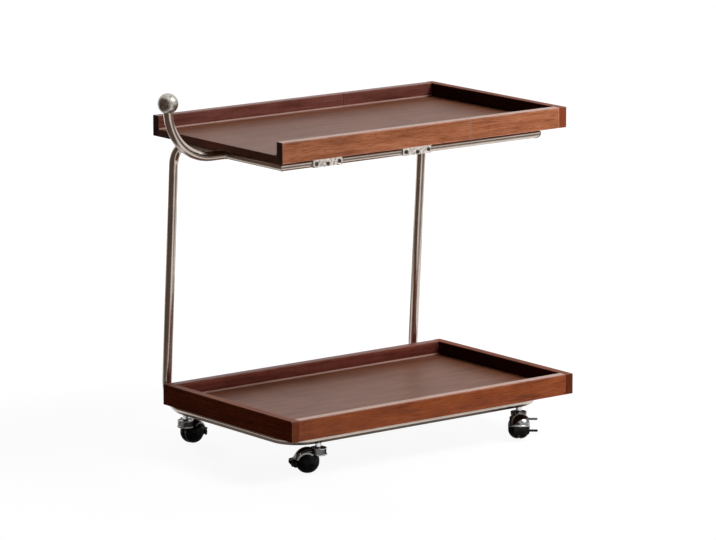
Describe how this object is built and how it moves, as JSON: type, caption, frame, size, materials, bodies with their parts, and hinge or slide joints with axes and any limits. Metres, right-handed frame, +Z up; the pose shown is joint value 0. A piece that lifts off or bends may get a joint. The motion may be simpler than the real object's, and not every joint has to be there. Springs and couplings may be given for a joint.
{
  "type": "rolling side table",
  "caption": "Rolling side table with two wooden trays on a bent steel tube frame, a ball handle, a tilting top section and swivelling braked casters.",
  "frame": {"origin": "middle of the bounding box's bottom, on the ground under the table", "axes": "+X along the trays away from the handle, +Y from the open front to the legs, +Z up"},
  "size_m": [0.7034, 0.4119, 0.628],
  "materials": {
    "stained_wood": "semi-gloss stain",
    "dowel_wood": "raw",
    "frame_steel": "polished",
    "hinge_steel": "polished",
    "screw_steel": "plain",
    "caster_metal": "polished",
    "hood_black": "gloss",
    "wheel_black": "gloss",
    "pedal_black": "satin",
    "pad_rubber": "matte"
  },
  "bodies": {
    "frame": {"caster_stems": "caster_metal", "fixed_back_rail": "stained_wood", "fixed_dowels": "dowel_wood", "fixed_end_rail": "stained_wood", "fixed_floor": "stained_wood", "fixed_front_rail": "stained_wood", "fixed_screws": "screw_steel", "fixed_tabs": "frame_steel", "handle_ball": "frame_steel", "handle_tube": "frame_steel", "hinge_screws": "hinge_steel", "left_hinge_fixed_leaf": "hinge_steel", "left_leg_tube": "frame_steel", "lower_back_rail": "stained_wood", "lower_dowels": "dowel_wood", "lower_floor": "stained_wood", "lower_front_rail": "stained_wood", "lower_left_rail": "stained_wood", "lower_loop_tube": "frame_steel", "lower_right_rail": "stained_wood", "lower_screws": "screw_steel", "lower_tabs": "frame_steel", "rear_stretcher_tube": "frame_steel", "rest_pads": "pad_rubber", "right_hinge_fixed_leaf": "hinge_steel", "right_leg_tube": "frame_steel", "top_front_tube": "frame_steel"},
    "tilting_top": {"hinge_pins": "hinge_steel", "left_hinge_moving_leaf": "hinge_steel", "right_hinge_moving_leaf": "hinge_steel", "tilt_back_rail": "stained_wood", "tilt_floor": "stained_wood", "tilt_front_rail": "stained_wood", "tilt_leaf_screws": "screw_steel"},
    "caster_front_left": {"caster_front_left_body": "caster_metal", "caster_front_left_hood": "hood_black", "caster_front_left_axle": "caster_metal"},
    "caster_front_left_wheel_a": {"caster_front_left_wheel_a": "wheel_black"},
    "caster_front_left_wheel_b": {"caster_front_left_wheel_b": "wheel_black"},
    "caster_front_left_pedal": {"caster_front_left_pedal": "pedal_black"},
    "caster_front_right": {"caster_front_right_body": "caster_metal", "caster_front_right_hood": "hood_black", "caster_front_right_axle": "caster_metal"},
    "caster_front_right_wheel_a": {"caster_front_right_wheel_a": "wheel_black"},
    "caster_front_right_wheel_b": {"caster_front_right_wheel_b": "wheel_black"},
    "caster_front_right_pedal": {"caster_front_right_pedal": "pedal_black"},
    "caster_back_left": {"caster_back_left_body": "caster_metal", "caster_back_left_hood": "hood_black", "caster_back_left_axle": "caster_metal"},
    "caster_back_left_wheel_a": {"caster_back_left_wheel_a": "wheel_black"},
    "caster_back_left_wheel_b": {"caster_back_left_wheel_b": "wheel_black"},
    "caster_back_left_pedal": {"caster_back_left_pedal": "pedal_black"},
    "caster_back_right": {"caster_back_right_body": "caster_metal", "caster_back_right_hood": "hood_black", "caster_back_right_axle": "caster_metal"},
    "caster_back_right_wheel_a": {"caster_back_right_wheel_a": "wheel_black"},
    "caster_back_right_wheel_b": {"caster_back_right_wheel_b": "wheel_black"},
    "caster_back_right_pedal": {"caster_back_right_pedal": "pedal_black"}
  },
  "joints": [
    {"name": "top_tilt", "type": "hinge", "parent": "frame", "child": "tilting_top", "pos_m": [-0.05325, -0.13905, 0.52485], "axis": [1, 0, 0], "range_deg": [0, 45]},
    {"name": "swivel_front_left", "type": "hinge", "parent": "frame", "child": "caster_front_left", "pos_m": [-0.16025, -0.15225, 0.05], "axis": [0, 0, 1], "continuous": true},
    {"name": "wheel_a_front_left", "type": "hinge", "parent": "caster_front_left", "child": "caster_front_left_wheel_a", "pos_m": [-0.17443, -0.14116, 0.02], "axis": [-0.6157, -0.788, 0], "continuous": true},
    {"name": "wheel_b_front_left", "type": "hinge", "parent": "caster_front_left", "child": "caster_front_left_wheel_b", "pos_m": [-0.17443, -0.14116, 0.02], "axis": [-0.6157, -0.788, 0], "continuous": true},
    {"name": "pedal_front_left", "type": "hinge", "parent": "caster_front_left", "child": "caster_front_left_pedal", "pos_m": [-0.19335, -0.12639, 0.019], "axis": [-0.6157, -0.788, 0], "range_deg": [0, 11]},
    {"name": "swivel_front_right", "type": "hinge", "parent": "frame", "child": "caster_front_right", "pos_m": [0.26975, -0.15225, 0.05], "axis": [0, 0, 1], "continuous": true},
    {"name": "wheel_a_front_right", "type": "hinge", "parent": "caster_front_right", "child": "caster_front_right_wheel_a", "pos_m": [0.25867, -0.16643, 0.02], "axis": [0.788, -0.6157, 0], "continuous": true},
    {"name": "wheel_b_front_right", "type": "hinge", "parent": "caster_front_right", "child": "caster_front_right_wheel_b", "pos_m": [0.25867, -0.16643, 0.02], "axis": [0.788, -0.6157, 0], "continuous": true},
    {"name": "pedal_front_right", "type": "hinge", "parent": "caster_front_right", "child": "caster_front_right_pedal", "pos_m": [0.24389, -0.18534, 0.019], "axis": [0.788, -0.6157, 0], "range_deg": [0, 11]},
    {"name": "swivel_back_left", "type": "hinge", "parent": "frame", "child": "caster_back_left", "pos_m": [-0.21525, 0.145, 0.05], "axis": [0, 0, 1], "continuous": true},
    {"name": "wheel_a_back_left", "type": "hinge", "parent": "caster_back_left", "child": "caster_back_left_wheel_a", "pos_m": [-0.19804, 0.15027, 0.02], "axis": [-0.2924, 0.9563, 0], "continuous": true},
    {"name": "wheel_b_back_left", "type": "hinge", "parent": "caster_back_left", "child": "caster_back_left_wheel_b", "pos_m": [-0.19804, 0.15027, 0.02], "axis": [-0.2924, 0.9563, 0], "continuous": true},
    {"name": "pedal_back_left", "type": "hinge", "parent": "caster_back_left", "child": "caster_back_left_pedal", "pos_m": [-0.17508, 0.15728, 0.019], "axis": [-0.2924, 0.9563, 0], "range_deg": [0, 11]},
    {"name": "swivel_back_right", "type": "hinge", "parent": "frame", "child": "caster_back_right", "pos_m": [0.31875, 0.145, 0.05], "axis": [0, 0, 1], "continuous": true},
    {"name": "wheel_a_back_right", "type": "hinge", "parent": "caster_back_right", "child": "caster_back_right_wheel_a", "pos_m": [0.30184, 0.13885, 0.02], "axis": [0.342, -0.9397, 0], "continuous": true},
    {"name": "wheel_b_back_right", "type": "hinge", "parent": "caster_back_right", "child": "caster_back_right_wheel_b", "pos_m": [0.30184, 0.13885, 0.02], "axis": [0.342, -0.9397, 0], "continuous": true},
    {"name": "pedal_back_right", "type": "hinge", "parent": "caster_back_right", "child": "caster_back_right_pedal", "pos_m": [0.27928, 0.13064, 0.019], "axis": [0.342, -0.9397, 0], "range_deg": [0, 11]}
  ]
}
